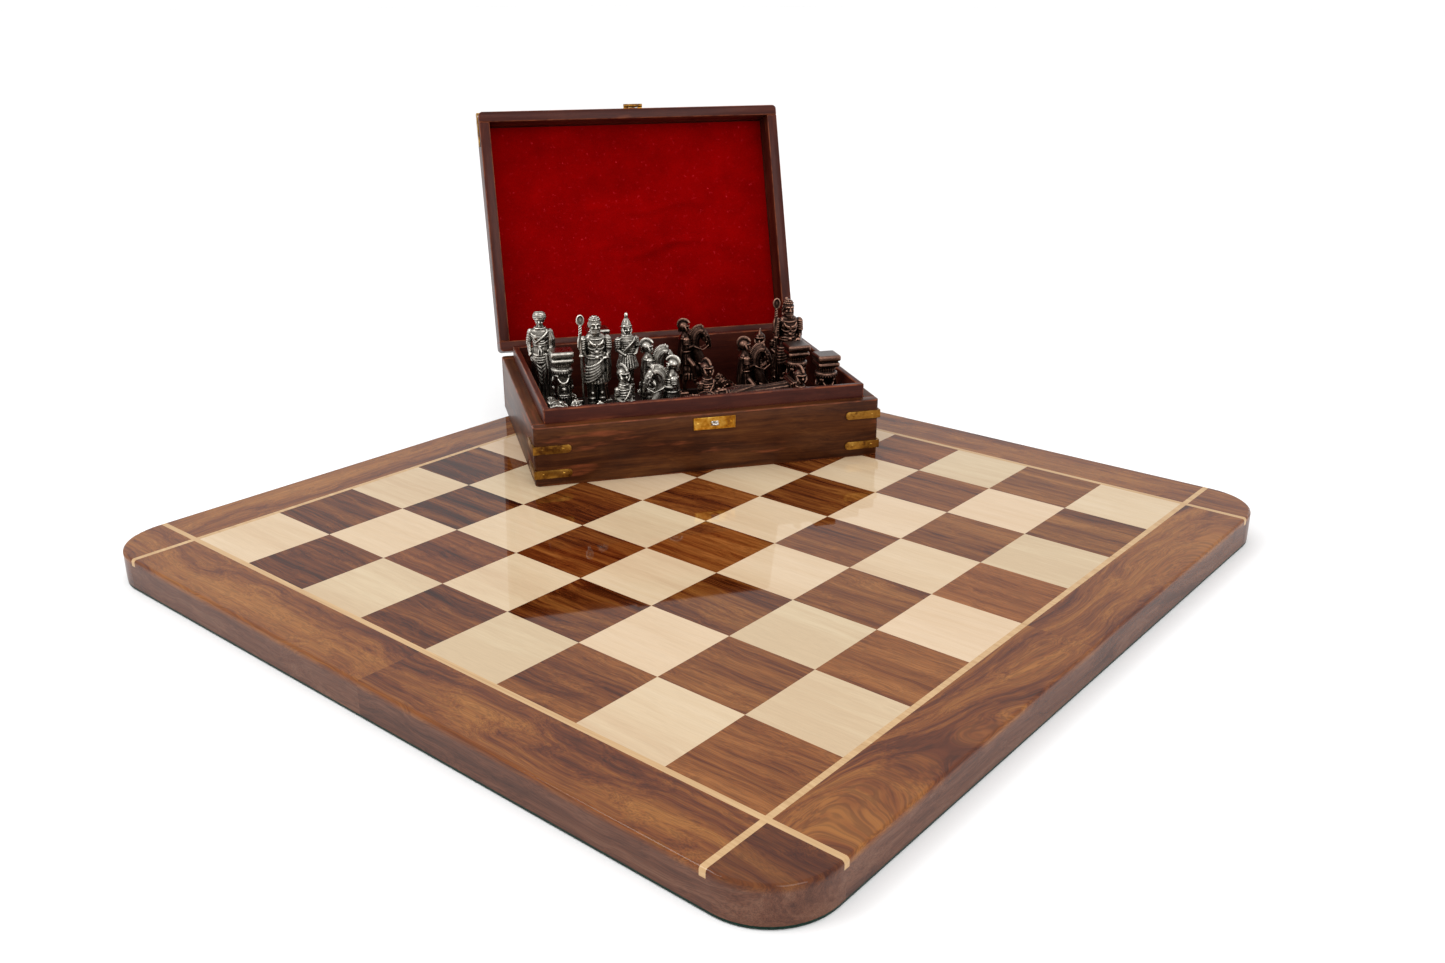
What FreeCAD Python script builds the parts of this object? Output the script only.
import FreeCAD, Part
import math
import os
import Sketcher
from FreeCAD import Placement, Rotation, Vector

# Inlaid chess board with a hinged wooden box standing on it. The box holds the two sides of cast metal
# figures. X and Y run along the board's edges, Z is up, and the origin is the centre of its felt underside.
# The box is drawn in its own axes: x along its front, y from front to back, z up from the board's top.

doc = FreeCAD.newDocument("ChessSet")
sheet = doc.addObject("Spreadsheet::Sheet", "Sizes")

SIZES = [
    # board
    ("square", 50.8),
    ("square_thick", 4.0),
    ("inlay_width", 3.2),
    ("border_width", 35.1),
    ("board_thick", 17.5),
    ("felt_thick", 1.5),
    ("felt_inset", 0.2),
    ("corner_radius", 33.0),
    ("top_round", 1.6),
    # where the box stands: its front left bottom corner and the turn of its front edge
    ("box_corner_x", -116.8),
    ("box_corner_y", -26.6),
    ("box_turn", 55.3),
    # figures
    ("base_gap", 1.0),
    ("length_gap", 1.0),
    ("rest_gap", 0.3),
    ("plinth_thick", 4.0),
    ("staff_dia", 2.6),
    ("arm_dia", 4.4),
    ("king_tall", 84.0),
    ("king_base", 22.0),
    ("queen_tall", 78.0),
    ("queen_base", 20.0),
    ("bishop_tall", 75.0),
    ("bishop_base", 18.0),
    ("knight_tall", 62.0),
    ("knight_base", 15.0),
    ("knight_long", 26.0),
    ("rook_tall", 56.0),
    ("rook_base", 16.0),
    ("pawn_tall", 54.0),
    ("pawn_base", 15.0),
    # box
    ("berths", 12.75),
    ("bays", 2.75),
    ("wall", 8.0),
    ("liner_thick", 4.0),
    ("floor_thick", 5.5),
    ("box_tall", 38.5),
    ("liner_proud", 9.0),
    ("box_corner_round", 3.0),
    # lid
    ("lid_gap", 0.5),
    ("lid_tall", 24.5),
    ("lid_panel_thick", 4.0),
    ("velvet_thick", 0.8),
    ("velvet_gap", 0.3),
    ("lid_angle", 107.9),
    # brass
    ("sheet_brass", 0.8),
    ("strap_long", 24.0),
    ("strap_wide", 5.3),
    ("strap_pin_near", 5.0),
    ("strap_pin_far", 18.0),
    ("strap_low", 8.0),
    ("strap_high_left", 24.0),
    ("strap_high_right", 28.8),
    ("pin_dia", 1.6),
    ("pin_proud", 0.35),
    ("plate_long", 27.6),
    ("plate_wide", 8.1),
    ("plate_height", 32.3),
    ("plate_pin_inset", 3.0),
    ("staple_dia", 3.0),
    ("staple_proud", 4.0),
    ("catch_offset", 1.5),
    ("leaf_wide", 14.0),
    ("leaf_long", 11.0),
    ("flap_long", 13.0),
    ("flap_slot_long", 6.0),
    ("flap_slot_edge", 1.6),
    ("staple_play", 0.3),
    ("hasp_pin_dia", 1.2),
    ("hasp_knuckle_dia", 2.6),
    ("hinge_long", 30.0),
    ("hinge_inset", 32.0),
    ("hinge_leaf", 9.0),
    ("hinge_pin_dia", 1.8),
    ("hinge_knuckle_dia", 3.4),
    ("pin_play", 0.05),
    ("knuckle_gap", 0.2),
]
for line, (alias, value) in enumerate(SIZES, start=1):
    sheet.set(f"A{line}", alias)
    sheet.set(f"B{line}", str(value))
    sheet.setAlias(f"B{line}", alias)

# Sizes that follow from the ones above.
DERIVED = [
    ("field", "=8 * square"),
    ("border_total", "=inlay_width + border_width"),
    ("board_long", "=field + 2 * border_total"),
    ("board_top", "=felt_thick + board_thick"),
    ("square_floor", "=board_top - square_thick"),
    ("berth", "=pawn_base + base_gap"),
    ("bay", "=pawn_tall + length_gap"),
    ("inside_long", "=berths * berth"),
    ("inside_deep", "=bays * bay"),
    ("shell", "=wall + liner_thick"),
    ("box_long", "=inside_long + 2 * shell"),
    ("box_deep", "=inside_deep + 2 * shell"),
    ("liner_top", "=box_tall + liner_proud"),
    ("lid_rail", "=wall - lid_gap"),
    ("lid_inner_tall", "=lid_tall - lid_panel_thick"),
    ("hinge_back", "=sheet_brass + hinge_knuckle_dia / 2"),
]
for line, (alias, formula) in enumerate(DERIVED, start=len(SIZES) + 1):
    sheet.set(f"A{line}", alias)
    sheet.set(f"B{line}", formula)
    sheet.setAlias(f"B{line}", alias)
doc.recompute()


def size(alias):
    return float(sheet.get(alias))


def bind(item, **formulas):
    """Bind properties to the sheet. In a formula every sheet name is written with a leading $."""
    for prop, formula in formulas.items():
        item.setExpression(prop.replace("__", "."), str(formula).replace("$", "Sizes."))


def block(name, long, deep, tall, x="0", y="0", z="0"):
    item = doc.addObject("Part::Box", name)
    bind(item, Length=long, Width=deep, Height=tall)
    bind(item, Placement__Base__x=x, Placement__Base__y=y, Placement__Base__z=z)
    return item


def rod(name, radius, tall, x="0", y="0", z="0", along="z"):
    """A cylinder from x, y, z along one of the three axes."""
    item = doc.addObject("Part::Cylinder", name)
    turns = {"z": Rotation(), "x": Rotation(Vector(0, 1, 0), 90), "y": Rotation(Vector(1, 0, 0), -90)}
    item.Placement = Placement(Vector(), turns[along])
    bind(item, Radius=radius, Height=tall)
    bind(item, Placement__Base__x=x, Placement__Base__y=y, Placement__Base__z=z)
    return item


def cone(name, low, high, tall, z="0", x="0", y="0"):
    item = doc.addObject("Part::Cone", name)
    bind(item, Radius1=low, Radius2=high, Height=tall)
    bind(item, Placement__Base__x=x, Placement__Base__y=y, Placement__Base__z=z)
    return item


def ball(name, radius, z, x="0", y="0"):
    item = doc.addObject("Part::Sphere", name)
    bind(item, Radius=radius)
    bind(item, Placement__Base__x=x, Placement__Base__y=y, Placement__Base__z=z)
    return item


def fuse(name, shapes):
    item = doc.addObject("Part::MultiFuse", name)
    item.Shapes = shapes
    return item


def cut(name, base, tool):
    item = doc.addObject("Part::Cut", name)
    item.Base = base
    item.Tool = tool
    return item


def common(name, base, tool):
    item = doc.addObject("Part::Common", name)
    item.Base = base
    item.Tool = tool
    return item


def group(name, shapes):
    """Separate solids of one kind that share a node."""
    item = doc.addObject("Part::Compound", name)
    item.Links = shapes
    return item


NODES = {}


def node(label, item, place=None):
    """Name a finished piece. Its Placement takes it from the axes it was drawn in to the set's own."""
    if place is not None:
        if item.ExpressionEngine:
            item = group(label + "_placed", [item])
        item.Placement = place.multiply(item.Placement)
    item.Label = label
    NODES[label] = item
    return item


def origin_plane(body, role):
    return next(f for f in body.Origin.OriginFeatures if f.Role == role)


def rounded_slab(name, long, deep, tall, radius, x="0", y="0", z="0", top_round=None):
    """A PartDesign slab with rounded corners, its outline fully bound to the sheet."""
    body = doc.addObject("PartDesign::Body", name)
    outline = body.newObject("Sketcher::SketchObject", name + "_outline")
    outline.AttachmentSupport = [(origin_plane(body, "XY_Plane"), "")]
    outline.MapMode = "FlatFace"
    start, end, r = 0.0, 100.0, 10.0
    corners = [
        (end - r, start + r, -90),
        (end - r, end - r, 0),
        (start + r, end - r, 90),
        (start + r, start + r, 180),
    ]
    sides = [
        (Vector(start + r, start), Vector(end - r, start)),
        (Vector(end, start + r), Vector(end, end - r)),
        (Vector(end - r, end), Vector(start + r, end)),
        (Vector(start, end - r), Vector(start, start + r)),
    ]
    for low, high in sides:
        outline.addGeometry(Part.LineSegment(low, high), False)
    for cx, cy, first in corners:
        circle = Part.Circle(Vector(cx, cy), Vector(0, 0, 1), r)
        arc = Part.ArcOfCircle(circle, math.radians(first), math.radians(first + 90))
        outline.addGeometry(arc, False)
    def hold(*terms):
        outline.addConstraint(Sketcher.Constraint(*terms))
        return outline.ConstraintCount - 1

    for side in range(4):
        hold("Tangent", side, 2, side + 4, 1)
        hold("Tangent", side + 4, 2, (side + 1) % 4, 1)
    hold("Horizontal", 0)
    hold("Horizontal", 2)
    hold("Vertical", 1)
    hold("Vertical", 3)
    for arc in (5, 6, 7):
        hold("Equal", 4, arc)
    terms = {
        hold("Radius", 4, 10.0): radius,
        hold("DistanceX", 3, 1, 1, 1, 100.0): long,
        hold("DistanceY", 0, 1, 2, 1, 100.0): deep,
    }
    hold("PointOnObject", 3, 1, -2)
    hold("PointOnObject", 0, 1, -1)
    for constraint, formula in terms.items():
        bind(outline, **{f"Constraints[{constraint}]": formula})
    pad = body.newObject("PartDesign::Pad", name + "_pad")
    pad.Profile = outline
    bind(pad, Length=tall)
    doc.recompute()
    if top_round:
        top = max(pad.Shape.Faces, key=lambda f: f.CenterOfMass.z)
        number = next(i for i, f in enumerate(pad.Shape.Faces, start=1) if f.isSame(top))
        easing = body.newObject("PartDesign::Fillet", name + "_easing")
        easing.Base = (pad, [f"Face{number}"])
        bind(easing, Radius=top_round)
        body.Tip = easing
    bind(body, Placement__Base__x=x, Placement__Base__y=y, Placement__Base__z=z)
    return body


# ---------------------------------------------------------------- the board

half = "-$board_long / 2"
field_low = "-$field / 2"
felt = rounded_slab(
    "felt",
    "$board_long - 2 * $felt_inset",
    "$board_long - 2 * $felt_inset",
    "$felt_thick",
    "$corner_radius - $felt_inset",
    x=half + " + $felt_inset",
    y=half + " + $felt_inset",
)
node("board_felt", felt)

blank = rounded_slab(
    "board_blank",
    "$board_long",
    "$board_long",
    "$board_thick",
    "$corner_radius",
    x=half,
    y=half,
    z="$felt_thick",
    top_round="$top_round",
)
core_thick = "$board_thick - $square_thick"
core_box = block("core_box", "$board_long", "$board_long", core_thick, half, half, "$felt_thick")
node("board_core", common("core", blank, core_box))

# The square at the front corner of the set (high X, low Y) is dark.
light, dark = [], []
for column in range(8):
    for row in range(8):
        tile = block(
            f"square_{column}_{row}",
            "$square",
            "$square",
            "$square_thick",
            f"{field_low} + {column} * $square",
            f"{field_low} + {row} * $square",
            "$square_floor",
        )
        (dark if (column + row) % 2 else light).append(tile)
node("light_squares", group("light_group", light))
node("dark_squares", group("dark_group", dark))

# Two inlay strips run the whole board along X. The two along Y are cut where they cross those.
strip_lows = ("-$field / 2 - $inlay_width", "$field / 2")
strips = []
for side, low in enumerate(strip_lows):
    strips.append(
        block(f"strip_x_{side}", "$board_long", "$inlay_width", "$square_thick", half, low, "$square_floor")
    )
    runs = [(half, "$border_width"), (field_low, "$field"), ("$field / 2 + $inlay_width", "$border_width")]
    for part, (start, long) in enumerate(runs):
        name = f"strip_y_{side}_{part}"
        strips.append(block(name, "$inlay_width", long, "$square_thick", low, start, "$square_floor"))
trimmed = [common(f"trimmed_{n}", blank, strip) for n, strip in enumerate(strips)]
node("inlay_strips", group("strip_group", trimmed))

# Border: a rail along each side of the field and a block at each corner, all cut from the same blank.
outer = {"low": half, "high": "$field / 2 + $inlay_width"}
border = []
for side, start in outer.items():
    size_x = ("$field", "$border_width", "$square_thick")
    size_y = ("$border_width", "$field", "$square_thick")
    rail_x = block(f"rail_x_{side}", *size_x, field_low, start, "$square_floor")
    rail_y = block(f"rail_y_{side}", *size_y, start, field_low, "$square_floor")
    border += [common(f"border_x_{side}", blank, rail_x), common(f"border_y_{side}", blank, rail_y)]
    for other, across in outer.items():
        corner = block(
            f"corner_{side}_{other}",
            "$border_width",
            "$border_width",
            "$square_thick",
            start,
            across,
            "$square_floor",
        )
        border.append(common(f"border_corner_{side}_{other}", blank, corner))
node("board_border", group("border_group", border))

# ---------------------------------------------------------------- the box

box_place = Placement(
    Vector(size("box_corner_x"), size("box_corner_y"), size("board_top")),
    Rotation(Vector(0, 0, 1), size("box_turn")),
)


def walls(prefix, blank_body, thick, long, deep, tall, inset="0", z="0"):
    """Front and back boards run the full length; the two sides fit between them."""
    x_far = f"{inset} + {long} - {thick}"
    y_far = f"{inset} + {deep} - {thick}"
    short = f"{deep} - 2 * {thick}"
    between = f"{inset} + {thick}"
    boards = {
        "front": (long, thick, inset, inset),
        "back": (long, thick, inset, y_far),
        "left": (thick, short, inset, between),
        "right": (thick, short, x_far, between),
    }
    made = {}
    for side, (size_x, size_y, x, y) in boards.items():
        board = block(f"{prefix}_{side}_board", size_x, size_y, tall, x, y, z)
        if blank_body:
            board = common(f"{prefix}_{side}_wall", blank_body, board)
        made[side] = board
    return made


box_blank = rounded_slab("box_blank", "$box_long", "$box_deep", "$box_tall", "$box_corner_round")
box_walls = walls("box", box_blank, "$wall", "$box_long", "$box_deep", "$box_tall")
for side, wall in box_walls.items():
    node(f"box_{side}", wall, box_place)

panel = block(
    "bottom_panel", "$box_long - 2 * $wall", "$box_deep - 2 * $wall", "$floor_thick", "$wall", "$wall"
)
node("box_bottom", panel, box_place)

liner = walls(
    "liner",
    None,
    "$liner_thick",
    "($box_long - 2 * $wall)",
    "($box_deep - 2 * $wall)",
    "$liner_top - $floor_thick",
    inset="$wall",
    z="$floor_thick",
)
for side, board in liner.items():
    node(f"liner_{side}", board, box_place)


def strap(name, side, height):
    """A brass strap bent round a front corner of the box, with a pin near the end of each arm."""
    left = side == "left"
    start = "-$sheet_brass" if left else "$box_long - $strap_long + $sheet_brass"
    arm_x = "-$sheet_brass" if left else "$box_long"
    low = f"{height} - $strap_wide / 2"
    front_size = ("$strap_long", "$sheet_brass", "$strap_wide")
    front = block(name + "_front", *front_size, start, "-$sheet_brass", low)
    arm = block(name + "_arm", "$sheet_brass", "$strap_long", "$strap_wide", arm_x, "-$sheet_brass", low)
    bent = fuse(name + "_strap", [front, arm])
    pins = []
    for part, along in enumerate(("$strap_pin_near", "$strap_pin_far")):
        x = along if left else f"$box_long - {along}"
        pin_y = "-$sheet_brass - $pin_proud"
        pins.append(rod(f"{name}_pin_{part}", "$pin_dia / 2", "$pin_proud", x, pin_y, height, "y"))
    return [bent] + pins


box_straps = []
for side in ("left", "right"):
    box_straps += strap(f"low_{side}", side, "$strap_low")
    box_straps += strap(f"high_{side}", side, f"$strap_high_{side}")
node("box_straps", group("box_strap_group", box_straps), box_place)

catch_x = "$box_long / 2 + $catch_offset"
plate = block(
    "plate",
    "$plate_long",
    "$sheet_brass",
    "$plate_wide",
    f"{catch_x} - $plate_long / 2",
    "-$sheet_brass",
    "$plate_height - $plate_wide / 2",
)
staple_y = "-$sheet_brass - $staple_proud"
staple = rod("staple", "$staple_dia / 2", "$staple_proud", catch_x, staple_y, "$plate_height", "y")
plate_pins = [
    rod(
        f"plate_pin_{n}",
        "$pin_dia / 2",
        "$pin_proud",
        f"{catch_x} {sign} ($plate_long / 2 - $plate_pin_inset)",
        "-$sheet_brass - $pin_proud",
        "$plate_height",
        "y",
    )
    for n, sign in enumerate("-+")
]
node("lock_plate", group("lock_group", [plate, staple] + plate_pins), box_place)

# ---------------------------------------------------------------- hinges

# The hinge line runs behind the back of the box, level with its rim. Lid pieces are drawn shut, about that
# line: x along the front of the box, y from the hinge line to the back, z up.
hinge_y = "$box_deep + $hinge_back"


def knuckles(name, x, spans):
    """Rolled knuckles of a box leaf along x on the given spans, about the hinge line."""
    return [
        rod(
            f"{name}_roll_{part}",
            "$hinge_knuckle_dia / 2",
            long,
            f"{x} + {start}",
            hinge_y,
            "$box_tall",
            "x",
        )
        for part, (start, long) in enumerate(spans)
    ]


third = "$hinge_long / 3"
box_half, lid_half = [], []
for side, hinge_x in (("left", "$hinge_inset"), ("right", "$box_long - $hinge_inset - $hinge_long")):
    lower = block(
        f"box_leaf_{side}",
        "$hinge_long",
        "$sheet_brass",
        "$hinge_leaf",
        hinge_x,
        "$box_deep",
        "$box_tall - $hinge_leaf",
    )
    clear = block(
        f"box_leaf_clear_{side}",
        f"{third}",
        "$sheet_brass",
        "$hinge_knuckle_dia / 2 + $knuckle_gap",
        f"{hinge_x} + {third}",
        "$box_deep",
        "$box_tall - $hinge_knuckle_dia / 2 - $knuckle_gap",
    )
    rolls = knuckles(f"box_{side}", hinge_x, [("0", third), (f"2 * {third}", third)])
    pin = rod(f"hinge_pin_{side}", "$hinge_pin_dia / 2", "$hinge_long", hinge_x, hinge_y, "$box_tall", "x")
    box_half.append(fuse(f"box_half_{side}", [cut(f"box_leaf_cut_{side}", lower, clear)] + rolls + [pin]))

    upper = block(
        f"lid_leaf_{side}",
        f"{third} - 2 * $knuckle_gap",
        "$sheet_brass",
        "$hinge_leaf",
        f"{hinge_x} + {third} + $knuckle_gap",
        "-$hinge_back",
        "0",
    )
    roll = rod(
        f"lid_roll_{side}",
        "$hinge_knuckle_dia / 2",
        f"{third} - 2 * $knuckle_gap",
        f"{hinge_x} + {third} + $knuckle_gap",
        "0",
        "0",
        "x",
    )
    bore = rod(
        f"lid_bore_{side}",
        "$hinge_pin_dia / 2 + $pin_play",
        third,
        f"{hinge_x} + {third}",
        "0",
        "0",
        "x",
    )
    lid_half.append(cut(f"lid_half_{side}", fuse(f"lid_leaf_roll_{side}", [upper, roll]), bore))
node("box_hinge_halves", group("box_hinge_group", box_half), box_place)

# ---------------------------------------------------------------- the lid

lid_place = box_place.multiply(
    Placement(
        Vector(0, size("box_deep") + size("hinge_back"), size("box_tall")),
        Rotation(Vector(1, 0, 0), -size("lid_angle")),
    )
)
lid_front_y = "-$hinge_back - $box_deep"
lid_blank = rounded_slab(
    "lid_blank",
    "$box_long",
    "$box_deep",
    "$lid_tall",
    "$box_corner_round",
    y=lid_front_y,
    top_round="$top_round",
)
lid_boards = {
    "front": ("$box_long", "$lid_rail", "0", lid_front_y),
    "back": ("$box_long", "$lid_rail", "0", "-$hinge_back - $lid_rail"),
    "left": ("$lid_rail", "$box_deep - 2 * $lid_rail", "0", lid_front_y + " + $lid_rail"),
    "right": (
        "$lid_rail",
        "$box_deep - 2 * $lid_rail",
        "$box_long - $lid_rail",
        lid_front_y + " + $lid_rail",
    ),
}
for side, (long, deep, x, y) in lid_boards.items():
    board = block(f"lid_{side}_board", long, deep, "$lid_inner_tall", x, y)
    node(f"lid_{side}", common(f"lid_{side}_rail", lid_blank, board), lid_place)
top_board = block(
    "lid_top_board", "$box_long", "$box_deep", "$lid_panel_thick", "0", lid_front_y, "$lid_inner_tall"
)
node("lid_panel", common("lid_top", lid_blank, top_board), lid_place)
velvet = block(
    "velvet",
    "$box_long - 2 * $lid_rail - 2 * $velvet_gap",
    "$box_deep - 2 * $lid_rail - 2 * $velvet_gap",
    "$velvet_thick",
    "$lid_rail + $velvet_gap",
    lid_front_y + " + $lid_rail + $velvet_gap",
    "$lid_inner_tall - $velvet_thick",
)
node("lid_velvet", velvet, lid_place)
node("lid_hinge_halves", group("lid_hinge_group", lid_half), lid_place)

lid_straps = []
for side in ("left", "right"):
    left = side == "left"
    start = "-$sheet_brass" if left else "$box_long - $strap_long + $sheet_brass"
    arm_x = "-$sheet_brass" if left else "$box_long"
    low = "$lid_inner_tall / 2 - $strap_wide / 2"
    front_y = lid_front_y + " - $sheet_brass"
    front_size = ("$strap_long", "$sheet_brass", "$strap_wide")
    front = block(f"lid_strap_front_{side}", *front_size, start, front_y, low)
    arm = block(f"lid_strap_arm_{side}", "$sheet_brass", "$strap_long", "$strap_wide", arm_x, front_y, low)
    lid_straps.append(fuse(f"lid_strap_{side}", [front, arm]))
node("lid_straps", group("lid_strap_group", lid_straps), lid_place)

# Hasp: a leaf pinned to the lid's front, and a slotted flap that turns on a pin at the leaf's lower edge.
hasp_y = lid_front_y + " - $sheet_brass - $hasp_knuckle_dia / 2"
hasp_z = "$hasp_knuckle_dia / 2 + $knuckle_gap"
leaf = block(
    "leaf",
    "$leaf_wide",
    "$sheet_brass",
    "$leaf_long",
    f"{catch_x} - $leaf_wide / 2",
    lid_front_y + " - $sheet_brass",
    hasp_z,
)
end_long = "$leaf_wide / 4"
leaf_rolls = [
    rod(
        f"leaf_roll_{n}",
        "$hasp_knuckle_dia / 2",
        f"{end_long} - $knuckle_gap",
        start,
        hasp_y,
        hasp_z,
        "x",
    )
    for n, start in enumerate((f"{catch_x} - $leaf_wide / 2", f"{catch_x} + $leaf_wide / 4 + $knuckle_gap"))
]
leaf_clear = block(
    "leaf_clear",
    "$leaf_wide / 2",
    "$sheet_brass",
    "$hasp_knuckle_dia / 2 + $knuckle_gap",
    f"{catch_x} - $leaf_wide / 4",
    lid_front_y + " - $sheet_brass",
    hasp_z,
)
hasp_pin = rod(
    "hasp_pin", "$hasp_pin_dia / 2", "$leaf_wide", f"{catch_x} - $leaf_wide / 2", hasp_y, hasp_z, "x"
)
leaf_plate = cut("leaf_cut", leaf, leaf_clear)
node("hasp_leaf", fuse("hasp_leaf_set", [leaf_plate] + leaf_rolls + [hasp_pin]), lid_place)

# The flap is drawn folded back over the leaf, where it lies while the lid is open.
flap_wide = "$leaf_wide / 2 - 2 * $knuckle_gap"
flap_roll = rod(
    "flap_roll", "$hasp_knuckle_dia / 2", flap_wide, f"{catch_x} - ({flap_wide}) / 2", hasp_y, hasp_z, "x"
)
flap_y = hasp_y + " - $hasp_knuckle_dia / 2"
flap_sheet = block(
    "flap_sheet", flap_wide, "$sheet_brass", "$flap_long", f"{catch_x} - ({flap_wide}) / 2", flap_y, hasp_z
)
flap_slot = block(
    "flap_slot",
    "$staple_dia + 2 * $staple_play",
    "$sheet_brass",
    "$flap_slot_long",
    f"{catch_x} - $staple_dia / 2 - $staple_play",
    flap_y,
    hasp_z + " + $flap_long - $flap_slot_long - $flap_slot_edge",
)
flap_bore = rod(
    "flap_bore",
    "$hasp_pin_dia / 2 + $pin_play",
    "$leaf_wide",
    f"{catch_x} - $leaf_wide / 2",
    hasp_y,
    hasp_z,
    "x",
)
flap = fuse("flap_body", [cut("flap_slotted", flap_sheet, flap_slot), flap_roll])
node("hasp_flap", cut("flap_bored", flap, flap_bore), lid_place)

# ---------------------------------------------------------------- the figures

# Every figure is drawn standing at the origin and facing low y. The plinth is its widest part, so nothing
# above it reaches past the plinth's edge. Heights in the body are shares of the figure's own height.


def plinth(name, kind):
    return rod(name + "_plinth", f"${kind}_base / 2", "$plinth_thick")


def robe(name, kind, low, waist, shoulder, chin):
    """Plinth, skirt and torso up to the chin. Widths are shares of the base, heights of the whole figure."""
    base = f"${kind}_base / 2"
    tall = f"${kind}_tall"
    waist_z, shoulder_z = f"{tall} * 0.47", f"{tall} * 0.68"
    return [
        plinth(name, kind),
        cone(
            name + "_skirt",
            f"{base} * {low}",
            f"{base} * {waist}",
            f"{waist_z} - $plinth_thick",
            "$plinth_thick",
        ),
        cone(
            name + "_torso",
            f"{base} * {waist}",
            f"{base} * {shoulder}",
            f"{shoulder_z} - {waist_z}",
            waist_z,
        ),
        cone(
            name + "_neck",
            f"{base} * {shoulder}",
            f"{base} * 0.3",
            f"{tall} * {chin} - {shoulder_z}",
            shoulder_z,
        ),
    ]


def king(name):
    base, tall = "$king_base / 2", "$king_tall"
    head = ball(name + "_head", "$king_tall * 0.07", "$king_tall * 0.86")
    circlet = rod(name + "_circlet", "$king_tall * 0.067", f"{tall} * 0.03", z=f"{tall} * 0.88")
    staff_x = f"-{base} * 0.8"
    staff_long = f"{tall} * 0.93 - $plinth_thick"
    staff = rod(name + "_staff", "$staff_dia / 2", staff_long, x=staff_x, z="$plinth_thick / 2")
    staff_head = ball(name + "_staff_head", f"{base} * 0.2", f"{tall} - {base} * 0.2", x=staff_x)
    arm_x, arm_z = f"-{base} * 0.8", f"{tall} * 0.6"
    arm = rod(name + "_arm", "$arm_dia / 2", f"{base} * 1.3", x=arm_x, z=arm_z, along="x")
    return robe(name, "king", 0.72, 0.6, 0.8, 0.82) + [head, circlet, staff, staff_head, arm]


def queen(name):
    tall = "$queen_tall"
    head = ball(name + "_head", f"{tall} * 0.07", f"{tall} * 0.88")
    hair = ball(name + "_hair", f"{tall} * 0.075", f"{tall} * 0.925")
    return robe(name, "queen", 0.75, 0.5, 0.72, 0.84) + [head, hair]


def bishop(name):
    tall = "$bishop_tall"
    head = ball(name + "_head", f"{tall} * 0.065", f"{tall} * 0.82")
    crest = cone(name + "_crest", f"{tall} * 0.055", f"{tall} * 0.012", f"{tall} * 0.16", f"{tall} * 0.84")
    return robe(name, "bishop", 0.7, 0.6, 0.8, 0.78) + [head, crest]


def pawn(name):
    tall, base = "$pawn_tall", "$pawn_base / 2"
    head = ball(name + "_head", f"{tall} * 0.085", f"{tall} * 0.8")
    crest = rod(
        name + "_crest",
        f"{tall} * 0.095",
        f"{base} * 0.3",
        y=f"-{base} * 0.15",
        z=f"{tall} * 0.905",
        along="y",
    )
    turn = Placement(Vector(), Rotation(Vector(0, 0, 1), 90))
    crest.Placement = turn.multiply(crest.Placement)
    bind(crest, Placement__Base__x=f"-{base} * 0.15", Placement__Base__y="0")
    return robe(name, "pawn", 0.72, 0.62, 0.78, 0.74) + [head, crest]


def rook(name):
    tall, base = "$rook_tall", "$rook_base / 2"
    across = f"{base} * 1.34"
    return [
        plinth(name, "rook"),
        rod(name + "_column", f"{base} * 0.62", f"{tall} * 0.8", z="$plinth_thick"),
        rod(name + "_ring", f"{base} * 0.8", f"{tall} * 0.06", z=f"{tall} * 0.62"),
        rod(name + "_collar", f"{base} * 0.8", f"{tall} * 0.08", z=f"{tall} * 0.78"),
        block(
            name + "_slab",
            across,
            across,
            f"{tall} * 0.1",
            f"-({across}) / 2",
            f"-({across}) / 2",
            f"{tall} * 0.9",
        ),
    ]


def knight(name):
    """A rider at the back of the plinth and the horse's arched neck at its front, along x."""
    tall, wide, long = "$knight_tall", "$knight_base", "$knight_long"
    foot = block(name + "_plinth", long, wide, "$plinth_thick", f"-{long} / 2", f"-{wide} / 2")
    trunk = block(
        name + "_trunk",
        f"{long} * 0.84",
        f"{wide} * 0.62",
        f"{tall} * 0.45 - $plinth_thick",
        f"-{long} * 0.42",
        f"-{wide} * 0.31", "$plinth_thick",
    )
    rider = cone(
        name + "_rider",
        f"{wide} * 0.4",
        f"{wide} * 0.34",
        f"{tall} * 0.33",
        f"{tall} * 0.4",
        x=f"-{long} * 0.2",
    )
    head = ball(name + "_head", f"{tall} * 0.085", f"{tall} * 0.8", x=f"-{long} * 0.2")
    crest = rod(
        name + "_crest", f"{tall} * 0.09", f"{wide} * 0.14", x=f"-{long} * 0.2", y=f"-{wide} * 0.07",
        z=f"{tall} * 0.91", along="y",
    )
    neck = rod(
        name + "_neck", f"{long} * 0.24", f"{wide} * 0.4", x=f"{long} * 0.22", y=f"-{wide} * 0.2",
        z=f"{tall} * 0.68", along="y",
    )
    chest = block(
        name + "_chest",
        f"{long} * 0.36",
        f"{wide} * 0.44",
        f"{tall} * 0.3",
        f"{long} * 0.06",
        f"-{wide} * 0.22",
        f"{tall} * 0.4",
    )
    return [foot, trunk, rider, head, crest, neck, chest]


MAKERS = {"king": king, "queen": queen, "bishop": bishop, "knight": knight, "rook": rook, "pawn": pawn}

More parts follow.
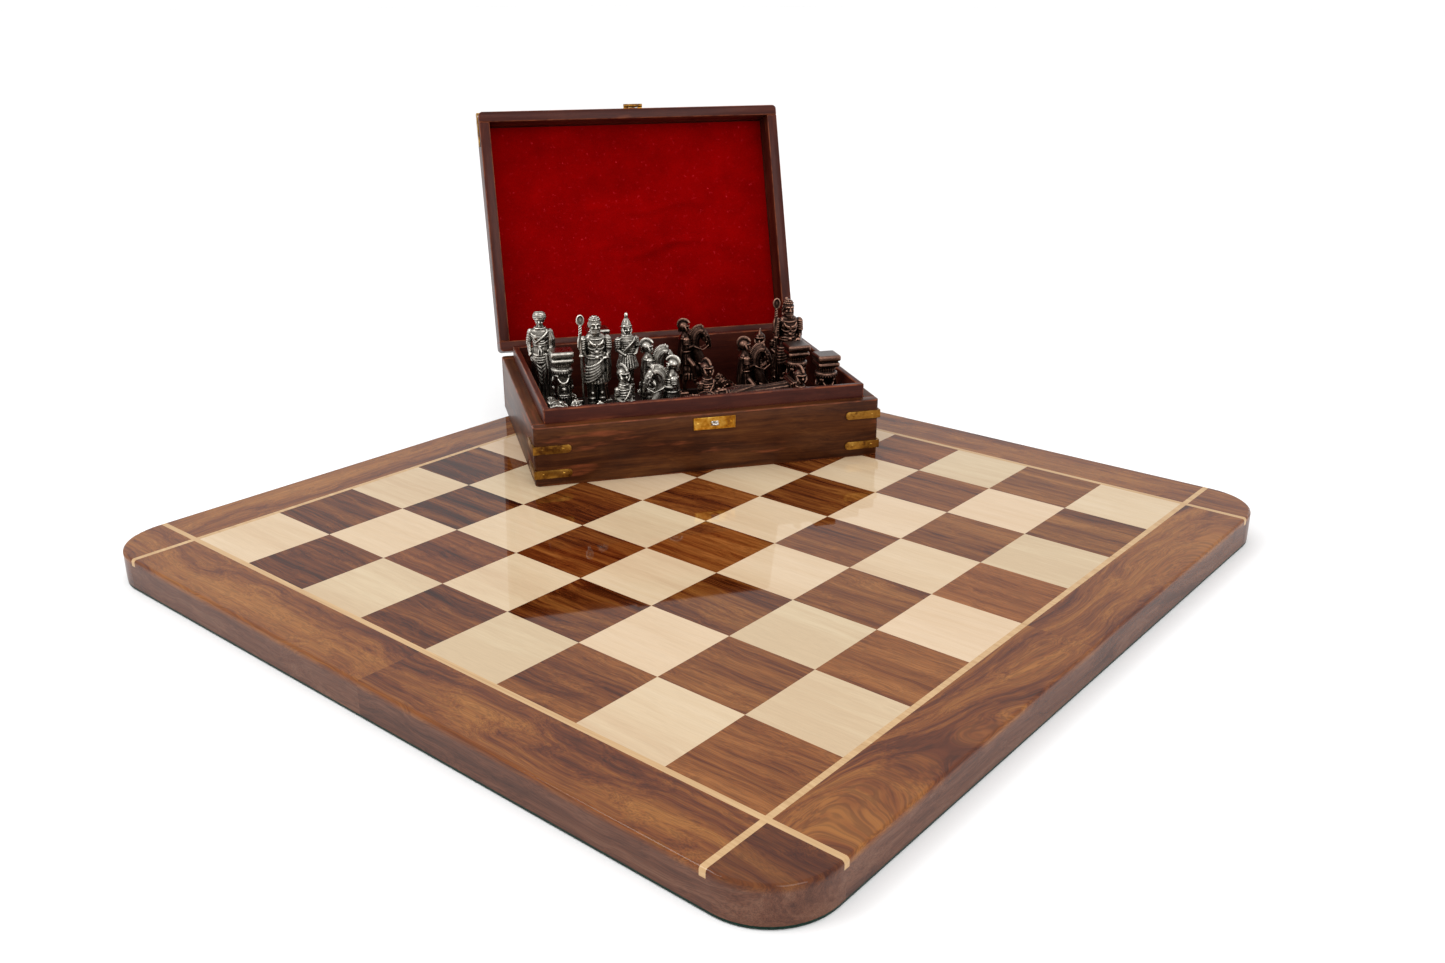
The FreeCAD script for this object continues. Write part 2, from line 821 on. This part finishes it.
# Where each figure is: its place along the front in berths and from the front in bays, both counted from the
# inner front left corner, and its turn. A lying figure's place is the middle of its foot. Its head points to
# the back at no turn and to the left at 90 degrees, and "over" names the figure beneath it.
STANDING = {
    "silver_queen": ("queen", 0.68, 2.0, -15),
    "silver_rook_1": ("rook", 1.31, 1.51, 0),
    "silver_king": ("king", 2.69, 1.33, 0),
    "silver_rook_2": ("rook", 3.5, 2.51, 0),
    "silver_bishop_1": ("bishop", 4.38, 1.82, 10),
    "silver_knight_1": ("knight", 5.5, 1.45, 0),
    "silver_knight_2": ("knight", 4.95, 0.58, 180),
    "silver_pawn_1": ("pawn", 3.55, 0.87, 25),
    "copper_king": ("king", 11.5, 1.54, 0),
    "copper_rook_1": ("rook", 11.31, 1.02, 0),
    "copper_rook_2": ("rook", 12.0, 0.47, 0),
    "copper_bishop_1": ("bishop", 12.06, 2.11, 0),
    "copper_knight_1": ("knight", 7.88, 2.33, 0),
    "copper_knight_2": ("knight", 9.62, 1.2, 0),
    "copper_pawn_1": ("pawn", 7.13, 0.84, 20),
    "copper_pawn_2": ("pawn", 10.75, 2.07, -20),
    "copper_pawn_3": ("pawn", 10.56, 0.22, 10),
    "copper_pawn_4": ("pawn", 0.88, 2.41, 0),
    "copper_pawn_5": ("pawn", 12.2, 2.55, 0),
    "copper_pawn_6": ("pawn", 3.05, 1.71, 0),
}
LYING = {
    "silver_pawn_2": ("pawn", 0.55, 0.01, 0, None),
    "silver_bishop_2": ("bishop", 0.63, 0.01, 0, "silver_pawn_2"),
    "silver_pawn_3": ("pawn", 1.58, 0.14, 0, None),
    "silver_pawn_4": ("pawn", 1.58, 0.14, 0, "silver_pawn_3"),
    "silver_pawn_5": ("pawn", 2.55, 0.01, 0, None),
    "silver_pawn_6": ("pawn", 2.55, 0.01, 0, "silver_pawn_5"),
    "silver_pawn_7": ("pawn", 1.86, 1.72, 0, None),
    "silver_pawn_8": ("pawn", 5.58, 1.7, 0, None),
    "copper_bishop_2": ("bishop", 8.2, 0.01, 0, None),
    "copper_queen": ("queen", 10.65, 0.573, 90, "copper_bishop_2"),
    "copper_pawn_7": ("pawn", 9.3, 1.72, 0, None),
    "copper_pawn_8": ("pawn", 6.6, 1.7, 0, None),
}


def inside(berths, bays, above=0.0):
    """A point above the box floor, counted from its inner front left corner."""
    x = size("shell") + berths * size("berth")
    y = size("shell") + bays * size("bay")
    return Vector(x, y, size("floor_thick") + above)


for label, (kind, berths, bays, turn) in STANDING.items():
    figure = fuse(label, MAKERS[kind](label))
    stand = Placement(inside(berths, bays), Rotation(Vector(0, 0, 1), turn))
    node(label, figure, box_place.multiply(stand))

stack_top = {}
for label, (kind, berths, bays, turn, over) in LYING.items():
    radius = size(f"{kind}_base") / 2
    lift = stack_top.get(over, 0.0)
    stack_top[label] = lift + 2 * radius + size("rest_gap")
    figure = fuse(label, MAKERS[kind](label))
    spot = inside(berths, bays, lift + radius + size("rest_gap"))
    lie = Placement(spot, Rotation(Vector(0, 0, 1), turn) * Rotation(Vector(1, 0, 0), -90))
    node(label, figure, box_place.multiply(lie))

# ---------------------------------------------------------------- check and write

doc.recompute()
for item in doc.Objects:
    if "Invalid" in item.State or "Error" in item.State:
        raise RuntimeError(f"{item.Name} did not build: {item.State}")
os.makedirs("parts", exist_ok=True)
for label, item in NODES.items():
    if item.Shape.isNull() or not item.Shape.isValid() or not item.Shape.Solids:
        raise RuntimeError(f"{label} is not a sound solid")
    item.Shape.exportStep(f"parts/{label}.step")
print(len(NODES), "nodes,", sum(len(n.Shape.Solids) for n in NODES.values()), "solids")
